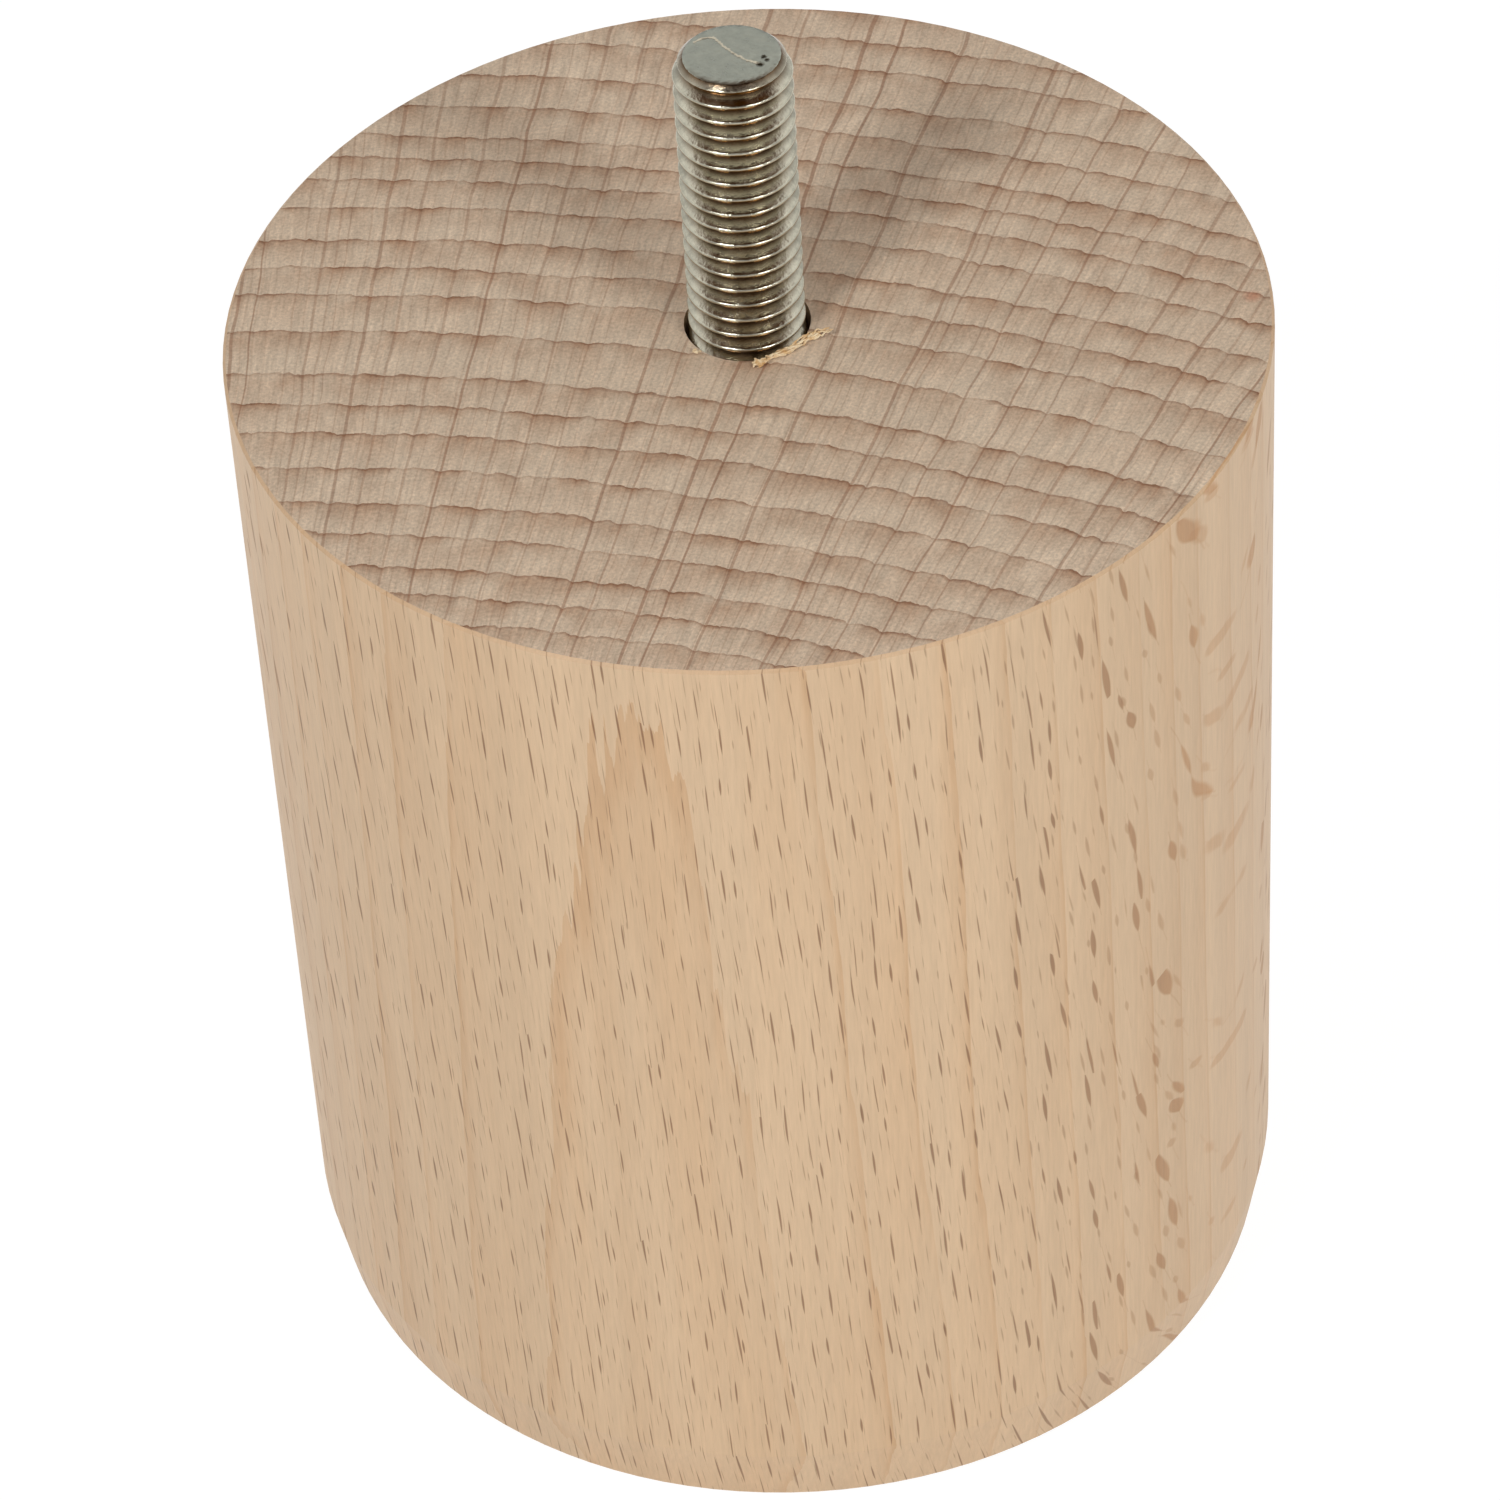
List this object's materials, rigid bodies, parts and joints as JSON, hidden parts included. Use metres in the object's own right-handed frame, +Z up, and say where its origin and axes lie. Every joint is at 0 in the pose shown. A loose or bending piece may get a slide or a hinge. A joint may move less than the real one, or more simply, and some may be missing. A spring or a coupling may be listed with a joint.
{
  "type": "wooden furniture leg",
  "caption": "Short round turned wooden furniture leg with a threaded steel stud standing up out of its flat top.",
  "frame": {"origin": "centre of the flat foot face that the leg stands on", "axes": "+Z up the leg, along the stud and away from the floor; +X and +Y are free, because the leg is round"},
  "size_m": [0.07, 0.07, 0.102],
  "materials": {
    "beech": "sanded and waxed side, raw sawn end grain on top",
    "plated_steel": "zinc or nickel plated, rolled thread"
  },
  "bodies": {
    "root": {"leg_body": "beech", "hanger_bolt": "plated_steel"}
  },
  "joints": []
}
